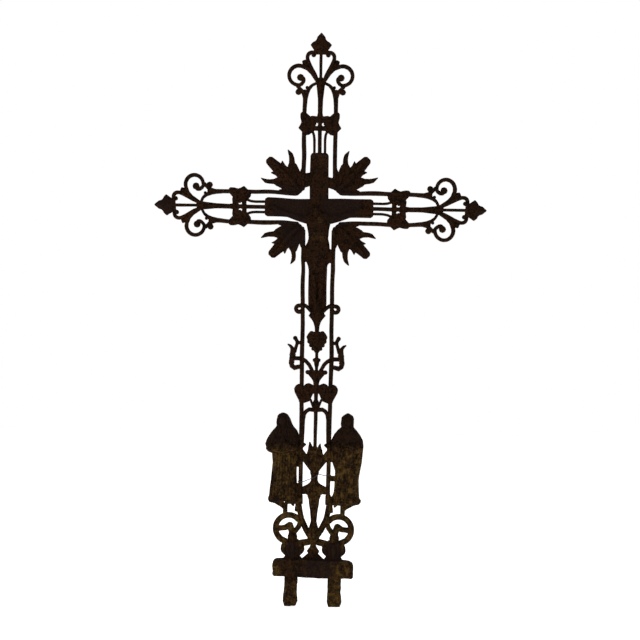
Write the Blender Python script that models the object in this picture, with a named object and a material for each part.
"""An openwork cast iron grave cross with a crucifix, two mourning figures and a block foot on two tangs.

The cross stands on its block: the origin is the middle of the block's underside, +Z is up, the front
faces -Y, and the back is flat as it came from an open mould. Sizes are in metres. Ornament is drawn in
small units about its own station on the stem or arm, and a placing function turns the units to metres.
"""

import math

import bmesh
import bpy
from mathutils import Matrix, Vector

for leftover in list(bpy.data.objects):
    bpy.data.objects.remove(leftover, do_unlink=True)

# Unit of the ornament drawings
UNIT = 0.001

# Heights on the stem above the block's underside
CROSSING_HEIGHT = 0.958
CURL_HEIGHT = 0.697
HEART_LEAF_HEIGHT = 0.610
BRACKET_HEIGHT = 0.570
CUP_HEIGHT = 0.520
LEAF_PAIR_HEIGHT = 0.480
ARCH_HEIGHT = 0.430
GOBLET_HEIGHT = 0.300
LEDGE_HEIGHT = 0.200

# Paired rails of the stem and arms
RAIL_WIDTH = 0.010
RAIL_DEPTH = 0.014
ROD_WIDTH = 0.009
THIN_ROD_WIDTH = 0.0055
RAIL_CORNER = 0.058
HEAD_RAIL_SPACING = 0.081
SIDE_RAIL_SPACING = 0.078
FOOT_RAIL_SPACING = 0.0715

# Arm ends, measured outward from the crossing
HEAD_COLLAR_REACH = 0.2175
SIDE_COLLAR_REACH = 0.205
HEAD_SCROLL_REACH = 0.112
SIDE_SCROLL_REACH = 0.108
HEAD_HEART_LENGTH = 0.079
SIDE_HEART_LENGTH = 0.072
FINIAL_LENGTH = 0.0465
COLLAR_HOLE_RADIUS = 0.0035

# Crucifix and the figure on it
BOARD_WIDTH = 0.0465
BOARD_SPAN = 0.278
BOARD_TOP = 0.141
BOARD_DEPTH = 0.015
BOARD_CORNER = 0.006
CORPUS_HEIGHT = 0.270
CORPUS_HAND_SHARE = 0.956

# Mourning figures beside the stem
FIGURE_HEIGHT = 0.228
FIGURE_OFFSET = 0.085
FIGURE_DEPTH = 0.030
FIGURE_SINK = 0.004

# Foot
BLOCK_WIDTH = 0.209
BLOCK_HEIGHT = 0.045
BLOCK_DEPTH = 0.044
BLOCK_CORNER = 0.010
TANG_SPACING = 0.113
TANG_WIDTH = 0.033
TANG_DEPTH = 0.020
TANG_LENGTH = 0.077
TANG_FLARE = 0.002
TANG_TIP = 0.012

# Thickness of ornament in front of the flat back
LEAF_DEPTH = 0.010
SCROLL_DEPTH = 0.012
CUP_DEPTH = 0.018
BACK_STEP = 0.001

# How far joined pieces run into each other, and the bevels cast on sharp corners
LAP = 0.004
CHAMFER = 0.004

# Radii of the small buttons and scroll eyes
SCROLL_EYE_RADIUS = 0.009
ARCH_EYE_RADIUS = 0.0079
LIP_RADIUS = 0.0055
BRANCH_EYE_RADIUS = 0.0052
PEARL_RADIUS = 0.0038

# Bars broader than this have a ridge, and bends flatter than the tolerance are drawn straight
RIDGED_WIDTH = 0.0142
TOLERANCE = 0.0011
RELIEF_EDGE_SHARE = 0.25

# Wire tied between the rails at the goblet
WIRE_RADIUS = 0.001
WIRE_GAP = 0.0004
WIRE_LEFT_CLEARANCE = 0.0054
WIRE_RIGHT_CLEARANCE = 0.0019
WIRE_DRAPE = 0.009
WIRE_TIP = 0.003

BACK = RAIL_DEPTH / 2
ORNAMENT_BACK = BACK - BACK_STEP
ROD_BACK = ORNAMENT_BACK - BACK_STEP

pieces = bpy.data.collections.new("casting_pieces")
holes = bpy.data.collections.new("holes")
bpy.context.scene.collection.children.link(pieces)
bpy.context.scene.collection.children.link(holes)


def material(name, colour, roughness, metallic):
    """A plain Principled material."""
    result = bpy.data.materials.new(name)
    result.use_nodes = True
    shader = result.node_tree.nodes["Principled BSDF"]
    shader.inputs["Base Color"].default_value = (*colour, 1.0)
    shader.inputs["Roughness"].default_value = roughness
    shader.inputs["Metallic"].default_value = metallic
    return result


def add_object(bm, name, collection):
    """Turn a bmesh into an object with its faces pointing out."""
    bmesh.ops.recalc_face_normals(bm, faces=bm.faces)
    mesh = bpy.data.meshes.new(name)
    bm.to_mesh(mesh)
    bm.free()
    result = bpy.data.objects.new(name, mesh)
    collection.objects.link(result)
    return result


def skin_rings(bm, rings):
    """Join rings of vertices with four-sided faces and close both ends."""
    count = len(rings[0])
    for first, second in zip(rings, rings[1:]):
        for k in range(count):
            after = (k + 1) % count
            bm.faces.new((first[k], first[after], second[after], second[k]))
    bm.faces.new(rings[0])
    bm.faces.new(rings[-1])


def thinned(points, tolerance):
    """Leave out the points that a straight run between their neighbours passes this close to."""
    first = Vector(points[0])
    run = Vector(points[-1]) - first
    far, worst = 0, tolerance
    for i in range(1, len(points) - 1):
        offset = Vector(points[i]) - first
        share = min(max(offset.dot(run) / max(run.length_squared, 1e-12), 0.0), 1.0)
        away = (offset - run * share).length
        if away > worst:
            far, worst = i, away
    if not far:
        return [points[0], points[-1]]
    return thinned(points[:far + 1], tolerance)[:-1] + thinned(points[far:], tolerance)


def stroke(path, depth, back=ORNAMENT_BACK, shoulder=0.55):
    """A bar along (x, z, width) points, flat behind, thinner where it is narrow.

    A broad bar has a ridge along its front, a narrow one is flat there with sloping sides.
    """
    bm = bmesh.new()
    rings = []
    path = thinned(path, TOLERANCE)
    last = len(path) - 1
    if max(point[2] for point in path) > RIDGED_WIDTH:
        profile = ((-1, 0), (-1, shoulder), (0, 1), (1, shoulder), (1, 0))
    else:
        profile = ((-1, 0), (-0.55, 1), (0.55, 1), (1, 0))
    for i, (x, z, width) in enumerate(path):
        before = path[max(i - 1, 0)]
        after = path[min(i + 1, last)]
        along = Vector((after[0] - before[0], after[1] - before[1])).normalized()
        side = Vector((-along.y, along.x)) * width / 2
        rise = depth * min(1.0, 0.45 + 0.8 * width / depth)
        ring = [
            bm.verts.new((x + side.x * across, back - rise * forward, z + side.y * across))
            for across, forward in profile
        ]
        rings.append(ring)
    skin_rings(bm, rings)
    return add_object(bm, "stroke", pieces)


def plate(outline, depth, back=ORNAMENT_BACK):
    """A flat plate with the given (x, z) outline."""
    bm = bmesh.new()
    half = len(outline) // 2
    outline = thinned(outline[:half + 1], TOLERANCE)[:-1] + thinned(outline[half:], TOLERANCE)
    rim = [bm.verts.new((point[0], back, point[1])) for point in outline]
    face = bm.faces.new(rim)
    grown = bmesh.ops.extrude_face_region(bm, geom=[face])
    front = [item for item in grown["geom"] if isinstance(item, bmesh.types.BMVert)]
    bmesh.ops.translate(bm, verts=front, vec=(0, -depth, 0))
    return add_object(bm, "plate", pieces)


def boss(place, radius, depth, back=ORNAMENT_BACK, sides=8):
    """A round button with a domed front."""
    bm = bmesh.new()
    rings = []
    for share, forward in ((1.0, 0.0), (0.75, 1.0)):
        rings.append([
            bm.verts.new((
                place[0] + radius * share * math.cos(2 * math.pi * k / sides),
                back - depth * forward,
                place[1] + radius * share * math.sin(2 * math.pi * k / sides),
            ))
            for k in range(sides)
        ])
    skin_rings(bm, rings)
    return add_object(bm, "boss", pieces)


def relief(levels, back=ORNAMENT_BACK, sides=5):
    """A figure's mass as horizontal slices (z, left x, right x, depth), flat behind and rounded in front."""
    bm = bmesh.new()
    rings = []
    for z, left, right, depth in levels:
        middle = (left + right) / 2
        half = (right - left) / 2
        ring = [bm.verts.new((right, back, z))]
        for k in range(sides + 1):
            angle = math.pi * k / sides
            lift = depth * (RELIEF_EDGE_SHARE + (1 - RELIEF_EDGE_SHARE) * math.sin(angle))
            ring.append(bm.verts.new((middle + half * math.cos(angle), back - lift, z)))
        ring.append(bm.verts.new((left, back, z)))
        rings.append(ring)
    skin_rings(bm, rings)
    return add_object(bm, "relief", pieces)


def arc(centre_x, centre_z, radius, start, end, count):
    """Points on an arc, from start to end degrees, counted from +x toward +z."""
    turns = [math.radians(start + (end - start) * k / count) for k in range(count + 1)]
    return [(centre_x + radius * math.cos(t), centre_z + radius * math.sin(t)) for t in turns]


def widths(points, width):
    """Give the points of an arc one width."""
    return [(x, z, width) for x, z in points]


def rail_offset(height):
    """Half the distance between the stem's rails, which draw together toward the ledge."""
    share = min(max((CROSSING_HEIGHT - height) / (CROSSING_HEIGHT - LEDGE_HEIGHT), 0.0), 1.0)
    return (HEAD_RAIL_SPACING + (FOOT_RAIL_SPACING - HEAD_RAIL_SPACING) * share**0.6) / 2


def level(height, drawn_rail, stretch=1.0):
    """Place a motif drawn about this height, with its rails drawn_rail units off the axis."""
    across = rail_offset(height) / drawn_rail

    def place(x, z, width=0):
        return (x * across, height + z * UNIT * stretch, width * UNIT)

    return place


def line(place, side, points):
    """Place a list of drawn points on one side of the axis."""
    return [place(side * point[0], *point[1:]) for point in points]


def axis_line(place, points):
    """Place (z, width) points on the axis."""
    return [place(0, z, width) for z, width in points]


def arm(direction, collar_reach, scroll_reach, heart_length, rail_spacing):
    """Place a motif drawn outward along an arm from its collar's holes, its rails 40.5 units off the axis.

    The drawing has its scrolls' root at 112 units, its finial's neck at 191 and its tip at 238.
    """
    across = rail_spacing / 2 / 40.5
    stations = (
        (0.0, collar_reach),
        (112.0, collar_reach + scroll_reach),
        (191.0, collar_reach + scroll_reach + heart_length),
        (238.0, collar_reach + scroll_reach + heart_length + FINIAL_LENGTH),
    )

    def reach(along):
        if along < 0:
            return collar_reach + along * UNIT
        for (first, start), (second, end) in zip(stations, stations[1:]):
            if along <= second:
                return start + (end - start) * (along - first) / (second - first)
        return stations[-1][1]

    def place(along, off, width=0):
        out = reach(along)
        if direction == "head":
            return (off * across, CROSSING_HEIGHT + out, width * UNIT)
        side = 1 if direction == "right" else -1
        return (side * out, CROSSING_HEIGHT + off * across, width * UNIT)

    return place


def arm_line(place, side, points):
    """Place drawn (along, off, width) points on one side of an arm's axis."""
    return [place(along, side * off, *rest) for along, off, *rest in points]


def scroll_path():
    """The C-scroll's centre line: out of the root, round the ring and in to its eye."""
    ring = [(126.5 + (z - 126.5), x) for z, x in arc(126.5, 57, 25.7, -14, 185, 8)]
    lead = [(112, 9, 8), (122, 15.5, 7.5), (134, 23.5, 8), (145, 34.5, 8.5)]
    curl = [(104, 50, 8.5), (111, 45, 8.5), (118, 45, 8.5), (121, 50, 9)]
    return lead + [(along, off, 8) for along, off in ring] + curl


def arm_end(place, inner_reach):
    """One arm from the crucifix board outward: rods, collar, arch, scrolls, heart and finial."""
    rod = ROD_WIDTH / UNIT
    thin = THIN_ROD_WIDTH / UNIT
    stroke([place(inner_reach, 0, rod), place(4, 0, rod)], RAIL_DEPTH, ROD_BACK)
    stroke(arm_line(place, 1, [(-4, 0, rod), (45, 0, 10.5), (65, 0, 12), (85, 0, 16), (100, 0, 20),
                               (113, 0, 21), (121, 0, 10)]), SCROLL_DEPTH)
    stroke(arm_line(place, 1, [(112, 0, 5), (189, 0, 5)]), LEAF_DEPTH, ROD_BACK)
    stroke(arm_line(place, 1, [(183, 0, 30), (187, 0, 36), (194, 0, 35), (200, 0, 43), (207, 0, 52.5),
                               (213, 0, 42), (217, 0, 28), (221, 0, 22.5), (227, 0, 19.5),
                               (232, 0, 13), (238, 0, 2)]), CUP_DEPTH)
    for side in (-1, 1):
        stroke(arm_line(place, side, [(inner_reach, 14, thin), (-40, 13.8, thin), (-28, 15, thin),
                                      (-15, 19.5, thin)]), LEAF_DEPTH, ROD_BACK)
        stroke(arm_line(place, side, [(46, 40.5, 10), (65, 39.5, 11), (80, 36.5, 11), (92, 30.5, 8.5),
                                      (101, 22, 5.5), (107, 10, 5), (109, 1, 5)]), SCROLL_DEPTH)
        stroke(arm_line(place, side, [(68, 40.5, 10), (82, 45, 10), (92, 53.5, 8.5), (99, 61, 8)]),
               SCROLL_DEPTH)
        stroke(arm_line(place, side, scroll_path()), SCROLL_DEPTH)
        stroke(arm_line(place, side, [(112, 7, 7), (129.5, 14.5, 8), (144.5, 22.5, 8), (158.5, 29.5, 8),
                                      (171.5, 33.8, 7.5), (181.5, 32, 7.5), (187, 25, 7.5),
                                      (188, 14, 7.5)]), SCROLL_DEPTH)
        stroke(arm_line(place, side, [(141, 27, 9), (150, 34, 16), (158, 40, 14), (166, 43, 9.5)]),
               LEAF_DEPTH)
        boss(place(83.5, side * 57.5), ARCH_EYE_RADIUS, SCROLL_DEPTH)
        boss(place(122, side * 53), SCROLL_EYE_RADIUS, SCROLL_DEPTH + BACK_STEP)
        boss(place(95, side * 35.5), PEARL_RADIUS, LEAF_DEPTH)
        boss(place(181, side * 18), LIP_RADIUS, LEAF_DEPTH)
        collar_half(place, side)


def collar_half(place, side):
    """Half of the leafy collar that ties the rods and rails, with its hole."""
    outline = [(19, -1), (19.5, 10), (21.5, 20), (19.5, 25), (22.5, 30), (30, 37), (31.5, 41),
               (30.5, 47), (27, 50), (18, 50), (5.5, 47), (-1.5, 49.5), (-9.5, 54.5), (-14.5, 49),
               (-19, 45), (-28.5, 44), (-28.5, 36), (-26.5, 28), (-21.5, 22), (-18.5, 18),
               (-15.5, 14), (-15.5, -1)]
    plate([place(along, side * off)[:2] for along, off in outline], LEAF_DEPTH)
    bm = bmesh.new()
    x, z, _ = place(0, side * 7.5)
    bmesh.ops.create_cone(bm, cap_ends=True, segments=10, radius1=COLLAR_HOLE_RADIUS,
                          radius2=COLLAR_HOLE_RADIUS, depth=4 * RAIL_DEPTH)
    bmesh.ops.rotate(bm, verts=bm.verts, cent=(0, 0, 0), matrix=Matrix.Rotation(math.pi / 2, 3, "X"))
    bmesh.ops.translate(bm, verts=bm.verts, vec=(x, 0, z))
    hole = add_object(bm, "collar_hole", holes)
    hole.hide_render = True
    hole.display_type = "WIRE"


def arm_rails(place, side, inner_reach):
    """A straight rail from the crossing's corner out to where the arch leaves it."""
    rail = RAIL_WIDTH / UNIT
    stroke([place(inner_reach, side * 40.5, rail), place(88, side * 40.5, rail)], RAIL_DEPTH, BACK)


def ray_leaf(side, up):
    """One corner of the crossing: three leaf-shaped rays that spring from the rails' meeting."""
    across = HEAD_RAIL_SPACING / 2 / 40.5
    half = [(43.5, 46.5), (41, 50), (37.5, 52.5), (35.8, 58), (36, 75), (45, 104), (51, 91.5),
            (53.5, 103), (57, 111), (62, 116), (63, 129), (66, 139), (71, 144), (78, 149.5),
            (75.5, 139), (73.5, 130), (75, 116), (80, 106), (86, 111), (92.5, 123), (96, 116),
            (104, 121), (112, 129.5), (119, 134), (126, 134)]
    drawn = half + [(z, x) for x, z in reversed(half)]

    def place(x, z, width=0):
        return (side * x * across, CROSSING_HEIGHT + up * z * across, width * UNIT)

    plate([place(x, z)[:2] for x, z in drawn], LEAF_DEPTH - BACK_STEP)
    stroke([place(*point) for point in ((52, 52, 10), (75, 77, 15), (120, 126, 8))], CUP_DEPTH)


def crossing():
    """The four rayed corners and the webs that hold the crucifix board between them."""
    for side in (-1, 1):
        for up in (-1, 1):
            ray_leaf(side, up)
    web_middle = {-1: 77, 1: 69}
    web_width = {-1: 31, 1: 25}
    for side in (-1, 1):
        half_board = BOARD_WIDTH / 2 - LAP
        rail = HEAD_RAIL_SPACING / 2
        height = CROSSING_HEIGHT + web_middle[side] * UNIT
        width = web_width[side] * UNIT
        stroke([(side * half_board, height, width), (side * rail, height - LAP, width + LAP)],
               SCROLL_DEPTH)


def rounded_box(left, right, bottom, top, radius):
    """The (x, z) outline of a box with round corners."""
    corners = ((right, top, 0), (left, top, 90), (left, bottom, 180), (right, bottom, 270))
    outline = []
    for x, z, start in corners:
        centre_x = x - radius if x == right else x + radius
        centre_z = z - radius if z == top else z + radius
        outline += arc(centre_x, centre_z, radius, start, start + 90, 3)
    return outline


def crucifix():
    """The board of the crucifix, its leafy foot and the figure that hangs on it."""
    half_board = BOARD_WIDTH / 2
    foot = CURL_HEIGHT + LAP
    top = CROSSING_HEIGHT + BOARD_TOP
    plate(rounded_box(-half_board, half_board, foot, top, BOARD_CORNER), BOARD_DEPTH)
    plate(rounded_box(-BOARD_SPAN / 2, BOARD_SPAN / 2, CROSSING_HEIGHT - half_board,
                      CROSSING_HEIGHT + half_board, BOARD_CORNER), BOARD_DEPTH)
    place = level(CURL_HEIGHT, 38.5)
    stroke(axis_line(place, [(12, 40), (4, 40), (-2, 36), (-7, 31), (-11, 31), (-14, 38), (-18, 44),
                             (-22, 37), (-28, 26), (-35, 18), (-45, 12), (-57, 9.5)]),
           SCROLL_DEPTH)
    stroke([place(0, -50, 10), (0, HEART_LEAF_HEIGHT + 20 * UNIT, 10 * UNIT)], LEAF_DEPTH)
    corpus()


def corpus():
    """The figure on the crucifix, by shares of its height, with its loincloth spread to both rails."""
    size = CORPUS_HEIGHT
    soles = CROSSING_HEIGHT - CORPUS_HAND_SHARE * size
    front = ORNAMENT_BACK - BOARD_DEPTH * 0.6

    def at(x, share, width=0.0):
        return (x * size, soles + share * size, width * size)

    torso = [(0.49, -0.105, 0.1, 0.062), (0.535, -0.113, 0.108, 0.078), (0.6, -0.108, 0.105, 0.078),
             (0.655, -0.092, 0.092, 0.068), (0.7, -0.092, 0.094, 0.068), (0.76, -0.103, 0.1, 0.08),
             (0.82, -0.117, 0.112, 0.088), (0.862, -0.127, 0.12, 0.08), (0.905, -0.1, 0.1, 0.055)]
    relief([(soles + share * size, left * size, right * size, depth * size)
            for share, left, right, depth in torso], front)
    for side in (-1, 1):
        stroke([at(side * x, share, width) for x, share, width in
                ((0.05, 0.855, 0.12), (0.12, 0.858, 0.09), (0.175, 0.868, 0.076),
                 (0.24, 0.884, 0.068), (0.33, 0.908, 0.058), (0.4, 0.932, 0.045),
                 (0.44, 0.95, 0.046), (0.475, 0.96, 0.03))], 0.045 * size, front)
        stroke([at(side * 0.035, 0.5, 0.078), at(side * 0.034, 0.4, 0.072),
                at(side * 0.034, 0.31, 0.064), at(side * 0.031, 0.24, 0.062),
                at(side * 0.026, 0.12, 0.045), at(side * 0.018, 0.05, 0.04),
                at(side * 0.008, 0.0, 0.045), at(side * 0.004, -0.03, 0.03)],
               0.06 * size, front)
    cloth = [(-0.135, 0.56), (-0.11, 0.605), (-0.09, 0.62), (0.085, 0.6), (0.1, 0.565),
             (0.135, 0.55), (0.135, 0.43), (0.11, 0.432), (0.09, 0.41), (0.078, 0.33),
             (-0.08, 0.33), (-0.094, 0.4), (-0.108, 0.437), (-0.135, 0.44)]
    plate([at(*point)[:2] for point in cloth], 0.06 * size, ORNAMENT_BACK)
    head = [(0.845, -0.03, 0.0, 0.02), (0.87, -0.055, 0.015, 0.05), (0.91, -0.07, 0.012, 0.075),
            (0.945, -0.073, 0.008, 0.07), (0.972, -0.06, -0.004, 0.04), (0.98, -0.045, -0.02, 0.015)]
    relief([(soles + share * size, left * size, right * size, depth * size)
            for share, left, right, depth in head], front - 0.02 * size)


def stem_rails():
    """The two rails from the crossing down to the ledge, and the rod between them above the goblet."""
    top = CROSSING_HEIGHT - RAIL_CORNER
    steps = [top + (LEDGE_HEIGHT - top) * k / 8 for k in range(9)]
    for side in (-1, 1):
        stroke([(side * rail_offset(height), height, RAIL_WIDTH) for height in steps],
               RAIL_DEPTH, BACK)
    stroke([(0, ARCH_HEIGHT + LAP, ROD_WIDTH), (0, GOBLET_HEIGHT, 0.8 * ROD_WIDTH)], LEAF_DEPTH)


def side_curls():
    """The curls that run from the board's foot across the rails and end in rings outside them."""
    place = level(CURL_HEIGHT, 38.5)
    ring = widths(arc(48.3, -2.5, 8.2, 100, -140, 7), 8.4)
    for side in (-1, 1):
        stroke(line(place, side, [(14, -9, 8), (20, -3, 9), (25, 1.5, 9), (32, 6, 9),
                                  (39, 8, 9)] + ring + [(38, -7, 6)]), SCROLL_DEPTH)


def heart_leaf():
    """The hanging heart-shaped leaf and the bud below it."""
    place = level(HEART_LEAF_HEIGHT, 37.5)
    stroke(axis_line(place, [(27, 14), (26, 30), (23, 43), (19, 48), (14, 49), (6, 47), (0, 44),
                             (-5, 38.5), (-9, 30), (-13, 26), (-18, 20), (-23, 11), (-27, 7)]),
           CUP_DEPTH)
    cup = level(CUP_HEIGHT, 37)
    stroke([place(0, -22, 7), cup(0, 44, 7)], LEAF_DEPTH)
    stroke(axis_line(cup, [(50, 6), (47.5, 13), (46, 20), (42, 14), (35, 10), (28, 7), (14, 6)]),
           SCROLL_DEPTH)


def brackets():
    """The tulip-shaped candle brackets outside the rails and the branches that carry them."""
    place = level(BRACKET_HEIGHT, 37.5)
    for side in (-1, 1):
        stroke(line(place, side, [(60, 24, 10), (61, 18, 13), (62, 8, 14), (63, -5, 14),
                                  (65.5, -15, 12), (63, -24, 12), (57, -28.5, 12), (50, -27, 11),
                                  (44, -25, 10), (36, -24.5, 10)]), CUP_DEPTH)
        stroke(line(place, side, [(62, 16, 12), (64.5, 24, 8), (69, 29, 6), (75.5, 33, 2)]),
               SCROLL_DEPTH)
        stroke(line(place, side, [(57.5, 12, 9), (54, 24, 7), (51.5, 34, 7), (52, 42, 8),
                                  (56, 48, 9)]), LEAF_DEPTH)
        boss(place(side * 57, 49.5), BRANCH_EYE_RADIUS, SCROLL_DEPTH)
        stroke(line(place, side, [(37, 38, 8), (54, 37.5, 8)]), LEAF_DEPTH)
        stroke(line(place, side, [(36, -4, 10), (62, -3.5, 10)]), LEAF_DEPTH)
        stroke(line(place, side, [(37, -4.5, 9), (28, -9.5, 9), (20, -17.5, 9),
                                  (13.5, -27.5, 8.5), (9, -37, 8)]), SCROLL_DEPTH)


def cup():
    """The cup with curled lips that gathers the branches."""
    place = level(CUP_HEIGHT, 37)
    stroke(axis_line(place, [(17, 40), (12, 47), (7, 42), (2, 33), (-3, 26), (-8, 18), (-14, 14),
                             (-22, 13), (-30, 10)]), CUP_DEPTH)
    for side in (-1, 1):
        boss(place(side * 22.7, 12), LIP_RADIUS, CUP_DEPTH)


def leaf_pair():
    """Two ivy leaves spread over the rails, and the bud under their stem."""
    place = level(LEAF_PAIR_HEIGHT, 36.8)
    half = [(-1, 18), (7, 17), (12, 20), (19, 22), (26, 19.5), (31.5, 14), (37, 19), (46, 18.5),
            (52, 14.5), (56, 7), (54.5, -2), (51, -9), (46, -16), (43, -23), (40, -29.5),
            (31, -29), (24, -26.5), (16, -23), (13.5, -18), (12.5, -12), (9, -6), (5, -2), (-1, -1)]
    for side in (-1, 1):
        plate([place(side * x, z)[:2] for x, z in half], LEAF_DEPTH)
        stroke(line(place, side, [(7, -39, 5), (10, -29, 4.5), (14, -20, 5)]), LEAF_DEPTH)
    stroke(axis_line(place, [(24, 11), (0, 9), (-20, 8), (-26, 14), (-31, 19), (-38, 17),
                             (-48, 16)]), CUP_DEPTH)


def rail_arch():
    """The round-headed arch inside the rails over the two mourning figures."""
    place = level(ARCH_HEIGHT, 36.5)
    for side in (-1, 1):
        stroke(line(place, side, [(-1, 3, 10), (8, 3.5, 10.5), (17, 4.5, 10), (25, -0.5, 9),
                                  (30, -9, 9), (32.5, -24, 9), (33, -45, 9), (33.5, -80, 9),
                                  (35, -95, 8)]), SCROLL_DEPTH)


def goblet():
    """The flaming goblet between the figures, its rim and foot joined to the rails."""
    place = level(GOBLET_HEIGHT, 36)
    half = [(-1, 31), (11, 32), (18.5, 24), (21.5, 15.5), (30.5, 27), (37, 27), (37, 0), (30.5, 1),
            (25, -5), (18, -15), (10.5, -24), (10.5, -30), (8, -37), (7.5, -44), (8, -50),
            (11, -56), (17, -61), (25, -65), (31, -68), (37, -69), (37, -84), (28, -85.5),
            (22, -84.5), (14, -89), (-1, -90)]
    for side in (-1, 1):
        plate([place(side * x, z)[:2] for x, z in half], LEAF_DEPTH)
        stroke(line(place, side, [(37, 40, 22), (31, 40.5, 12), (24, 41, 2)]), LEAF_DEPTH)
    for side, tip in ((-1, (14, 47.5)), (1, (11.5, 41.5))):
        stroke(line(place, side, [(9, 20, 20), (11.5, 30, 14), (tip[0] - 1, tip[1] - 9, 8),
                                  (*tip, 1.5)]), CUP_DEPTH)
    stroke(axis_line(place, [(26, 22), (16, 34), (4, 38), (-8, 34), (-18, 22), (-25, 14), (-30, 19),
                             (-35, 12), (-45, 10), (-54, 14), (-62, 24), (-68, 34), (-76, 36)]),
           CUP_DEPTH)


def ledge(place):
    """The band under the goblet and figures, with its small hanging teeth."""
    for side in (-1, 1):
        stroke(line(place, side, [(30, -1, 20), (60, -2.5, 20), (75, -2, 20), (90, -1, 16),
                                  (112, -2, 13), (119, -3, 7)]), CUP_DEPTH)
        stroke(line(place, side, [(52, -2, 12), (54, -10, 8), (55, -15, 3)]), LEAF_DEPTH)
        stroke(line(place, side, [(103, -3, 14), (105.5, -10, 6)]), LEAF_DEPTH)


LEFT_FIGURE = (
    (0.0, 0.115, 0.215, 0.9), (0.03, 0.155, 0.215, 0.98), (0.06, 0.14, 0.19, 0.95),
    (0.1, 0.12, 0.17, 0.9), (0.15, 0.112, 0.165, 0.88), (0.22, 0.11, 0.163, 0.88),
    (0.35, 0.11, 0.163, 0.9), (0.45, 0.11, 0.165, 0.92), (0.558, 0.111, 0.17, 0.95),
    (0.563, 0.155, 0.172, 1.0), (0.585, 0.173, 0.175, 1.0), (0.65, 0.19, 0.18, 1.0),
    (0.7, 0.173, 0.185, 0.95), (0.745, 0.147, 0.186, 0.88), (0.8, 0.108, 0.163, 0.8),
    (0.845, 0.07, 0.123, 0.66), (0.875, 0.055, 0.105, 0.62), (0.905, 0.053, 0.093, 0.66),
    (0.94, 0.062, 0.079, 0.7), (0.965, 0.06, 0.064, 0.62), (0.985, 0.044, 0.048, 0.45),
    (1.0, 0.012, 0.014, 0.2),
)
RIGHT_FIGURE = (
    (0.0, 0.145, 0.16, 0.92), (0.03, 0.16, 0.18, 0.98), (0.05, 0.142, 0.17, 0.92),
    (0.1, 0.122, 0.15, 0.88), (0.16, 0.118, 0.143, 0.86), (0.28, 0.128, 0.138, 0.88),
    (0.35, 0.14, 0.137, 0.9), (0.45, 0.158, 0.17, 0.95), (0.55, 0.168, 0.186, 1.0),
    (0.64, 0.175, 0.192, 1.0), (0.705, 0.168, 0.18, 0.95), (0.76, 0.138, 0.155, 0.86),
    (0.81, 0.097, 0.112, 0.75), (0.845, 0.062, 0.072, 0.62), (0.88, 0.057, 0.078, 0.62),
    (0.92, 0.064, 0.074, 0.68), (0.95, 0.063, 0.064, 0.68), (0.975, 0.049, 0.05, 0.52),
    (1.0, 0.01, 0.012, 0.2),
)


LEFT_LINKS = ((0.0, 0.2), (0.395, 0.745))
RIGHT_LINKS = ((0.0, 0.055), (0.235, 0.29), (0.455, 0.7))


def figure_level(share):
    """The height at a share of a mourning figure's height, its feet a little in the ledge."""
    return LEDGE_HEIGHT - FIGURE_SINK + share * FIGURE_HEIGHT


def mourner(side, levels, arms, links):
    """A standing figure in long drapery by shares of its height: outer and inner reach, then depth."""
    size = FIGURE_HEIGHT
    middle = side * FIGURE_OFFSET
    rows = []
    for share, outer, inner, depth in levels:
        edges = sorted((middle + side * outer * size, middle - side * inner * size))
        rows.append((figure_level(share), *edges, depth * FIGURE_DEPTH))
    relief(rows)

    def at(off, share, width=0.0):
        return (middle + side * off * size, figure_level(share), width * size)

    for forearm in arms:
        stroke([at(*point) for point in forearm], 0.28 * FIGURE_DEPTH,
               ORNAMENT_BACK - 0.85 * FIGURE_DEPTH)
    for bottom, top in links:
        low = figure_level(bottom)
        high = figure_level(top)
        rail = side * rail_offset(high)
        inner = middle - side * 0.12 * size
        plate([(rail, low), (inner, low), (inner, high), (rail, high)], LEAF_DEPTH)


def mourners():
    """The veiled woman on the left with joined hands, and the bareheaded one on the right."""
    praying = [[(0.15, 0.62, 0.09), (0.08, 0.6, 0.08), (0.02, 0.66, 0.06), (0.0, 0.71, 0.03)],
               [(-0.15, 0.6, 0.09), (-0.08, 0.6, 0.08), (-0.02, 0.66, 0.06), (0.0, 0.71, 0.03)]]
    folded = [[(0.14, 0.66, 0.09), (0.09, 0.59, 0.08), (0.02, 0.62, 0.07), (-0.04, 0.65, 0.05)],
              [(-0.15, 0.66, 0.09), (-0.1, 0.57, 0.08), (-0.02, 0.58, 0.07), (0.05, 0.62, 0.05)]]
    mourner(-1, LEFT_FIGURE, praying, LEFT_LINKS)
    mourner(1, RIGHT_FIGURE, folded, RIGHT_LINKS)


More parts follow.
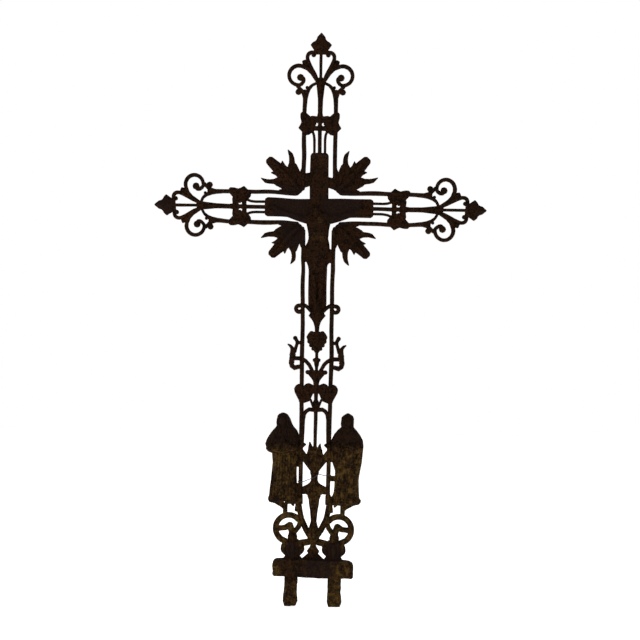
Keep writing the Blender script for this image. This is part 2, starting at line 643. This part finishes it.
def foot_scrolls():
    """The crossed limbs, C-scrolls, balusters and capitals between the ledge and the block."""
    stretch = (LEDGE_HEIGHT - BLOCK_HEIGHT) / (155 * UNIT)
    foot = level(BLOCK_HEIGHT, 36, stretch)
    top = level(LEDGE_HEIGHT, 36, stretch)
    ring = widths(arc(64, 79, 34.5, -78, 140, 8), 13.5)
    for side in (-1, 1):
        stroke([top(side * 36, 12, 12), top(side * 39.5, -2, 14), top(side * 40, -14, 15),
                foot(side * 38, 130, 14), foot(side * 34, 117, 12), foot(side * 31, 104, 13),
                foot(side * 26, 91, 14), foot(side * 19, 77, 14), foot(side * 10, 63, 14),
                foot(-side * 2, 50, 15), foot(-side * 15, 45.5, 16), foot(-side * 30, 41.5, 15),
                foot(-side * 46, 39, 15)], SCROLL_DEPTH)
        stroke(line(foot, side, [(41, 140, 13), (44, 130, 10), (46, 125, 6)]), LEAF_DEPTH)
        stroke(line(foot, side, [(66, 38, 11)] + ring + [(34.5, 94, 11), (38, 83, 12), (44, 74, 12),
                                                         (51, 66, 12)]), SCROLL_DEPTH)
        stroke(line(foot, side, [(96, 77.5, 15), (84, 79, 12), (74, 80, 13), (66, 84, 15)]),
               SCROLL_DEPTH)
        boss(foot(side * 61, 86), SCROLL_EYE_RADIUS, CUP_DEPTH)
        stroke(line(foot, side, [(60, 84, 16), (56, 74, 15), (54, 66, 18), (54, 58, 24),
                                 (54, 52, 22), (54, 46, 20), (54, 42, 28)]), CUP_DEPTH)
        stroke(line(foot, side, [(54, 46, 40), (54, 41, 52), (54, 34, 59), (54, 25, 61),
                                 (54, 19, 56), (54, 14, 45), (54, 9, 36), (54, 4, 42),
                                 (54, -4, 56)]), 1.5 * CUP_DEPTH, ORNAMENT_BACK + CUP_DEPTH / 4)
        stroke([foot(side * 72, 112, 14), foot(side * 74, 120, 10.5), foot(side * 74.5, 130, 11),
                top(side * 77, -18, 17), top(side * 81, -10, 30), top(side * 84, -3, 40)],
               LEAF_DEPTH)
    stroke([top(0, 10, 34), top(0, 2, 27), top(0, -12, 24), top(0, -28, 18), foot(0, 108, 14),
            foot(0, 99, 13), foot(0, 91, 17), foot(0, 84, 23), foot(0, 70, 30), foot(0, 58, 30),
            foot(0, 48, 20), foot(0, 40, 12), foot(0, 33, 16), foot(0, 27, 24), foot(0, 22, 31),
            foot(0, 18, 26), foot(0, 16, 24), foot(0, 10, 36), foot(0, 4, 52), foot(0, -4, 68)],
           CUP_DEPTH)
    ledge(top)


def solid_block(outline, depth):
    """A thick plate centred on the cross's middle plane."""
    plate(outline, depth, depth / 2)


def foot_block():
    """The block and the two tangs leaded into the gravestone."""
    half = BLOCK_WIDTH / 2
    outline = arc(half - BLOCK_CORNER, BLOCK_HEIGHT - BLOCK_CORNER, BLOCK_CORNER, 0, 90, 4)
    outline += arc(-half + BLOCK_CORNER, BLOCK_HEIGHT - BLOCK_CORNER, BLOCK_CORNER, 90, 180, 4)
    outline += [(-half, CHAMFER), (-half + CHAMFER, 0), (half - CHAMFER, 0), (half, CHAMFER)]
    solid_block(outline, BLOCK_DEPTH)
    for side in (-1, 1):
        middle = side * TANG_SPACING / 2
        shank = TANG_WIDTH / 2
        flare = shank + TANG_FLARE
        half_tang = [(shank, LAP), (shank, -TANG_LENGTH / 2), (flare, -TANG_LENGTH + TANG_TIP),
                     (flare - CHAMFER, -TANG_LENGTH)]
        tang = half_tang + [(-x, z) for x, z in reversed(half_tang)]
        solid_block([(middle + x, z) for x, z in tang], TANG_DEPTH)


head = arm("head", HEAD_COLLAR_REACH, HEAD_SCROLL_REACH, HEAD_HEART_LENGTH, HEAD_RAIL_SPACING)
left = arm("left", SIDE_COLLAR_REACH, SIDE_SCROLL_REACH, SIDE_HEART_LENGTH, SIDE_RAIL_SPACING)
right = arm("right", SIDE_COLLAR_REACH, SIDE_SCROLL_REACH, SIDE_HEART_LENGTH, SIDE_RAIL_SPACING)
for place, collar_reach, board_end in (
    (head, HEAD_COLLAR_REACH, BOARD_TOP),
    (left, SIDE_COLLAR_REACH, BOARD_SPAN / 2),
    (right, SIDE_COLLAR_REACH, BOARD_SPAN / 2),
):
    arm_end(place, (board_end - LAP - collar_reach) / UNIT)
    for side in (-1, 1):
        arm_rails(place, side, (RAIL_CORNER - collar_reach) / UNIT)
crossing()
crucifix()
stem_rails()
side_curls()
heart_leaf()
brackets()
cup()
leaf_pair()
rail_arch()
goblet()
mourners()
foot_scrolls()
foot_block()


def tie_wire():
    """A bent wire: hooked behind the left rail, over the goblet's neck and hooked behind the right one."""
    reach = RAIL_WIDTH / 2 + WIRE_GAP + WIRE_RADIUS
    front = -BACK - WIRE_GAP - WIRE_RADIUS
    behind = BACK + WIRE_GAP + WIRE_RADIUS
    neck = ORNAMENT_BACK - CUP_DEPTH - 3 * WIRE_RADIUS
    low = figure_level(LEFT_LINKS[0][1]) + WIRE_LEFT_CLEARANCE
    high = figure_level(RIGHT_LINKS[1][1]) + WIRE_RIGHT_CLEARANCE
    left_rail = -rail_offset(low)
    right_rail = rail_offset(high)

    def hook(rail, side, height):
        """The bend round one rail, from the front to the tip behind it."""
        outside = rail + side * reach
        return [(rail - side * 2 * WIRE_TIP, front, height), (outside - side * WIRE_RADIUS, front, height),
                (outside, front + WIRE_RADIUS, height), (outside, behind - WIRE_RADIUS, height),
                (outside - side * WIRE_RADIUS, behind, height), (rail - side * WIRE_TIP, behind, height)]

    route = hook(left_rail, -1, low)[::-1]
    route += [(-WIRE_DRAPE, neck, low + WIRE_DRAPE), (0, neck, low + 1.4 * WIRE_DRAPE),
              (WIRE_DRAPE, neck, high + WIRE_DRAPE / 2)]
    route += hook(right_rail, 1, high)
    curve = bpy.data.curves.new("tie_wire", "CURVE")
    curve.dimensions = "3D"
    curve.bevel_depth = WIRE_RADIUS
    curve.bevel_resolution = 2
    curve.use_fill_caps = True
    spline = curve.splines.new("POLY")
    spline.points.add(len(route) - 1)
    for point, place in zip(spline.points, route):
        point.co = (*place, 1)
    curve.materials.append(steel)
    bpy.context.scene.collection.objects.link(bpy.data.objects.new("tie_wire", curve))


# One casting out of all its pieces
iron = material("rusted_cast_iron", (0.024, 0.015, 0.010), 0.75, 0.35)
steel = material("dull_tie_wire", (0.20, 0.20, 0.19), 0.5, 0.8)
casting = pieces.objects[0]
pieces.objects.unlink(casting)
bpy.context.scene.collection.objects.link(casting)
casting.name = "cross_casting"
casting.data.materials.append(iron)
union = casting.modifiers.new("pieces", "BOOLEAN")
union.operation = "UNION"
union.operand_type = "COLLECTION"
union.collection = pieces
drill = casting.modifiers.new("holes", "BOOLEAN")
drill.operation = "DIFFERENCE"
drill.operand_type = "COLLECTION"
drill.collection = holes
for join in (union, drill):
    join.solver = "MANIFOLD"
flatten = casting.modifiers.new("flat_faces", "DECIMATE")
flatten.decimate_type = "DISSOLVE"
flatten.angle_limit = math.radians(4)
for piece in pieces.objects:
    piece.hide_render = True
    piece.display_type = "WIRE"
tie_wire()
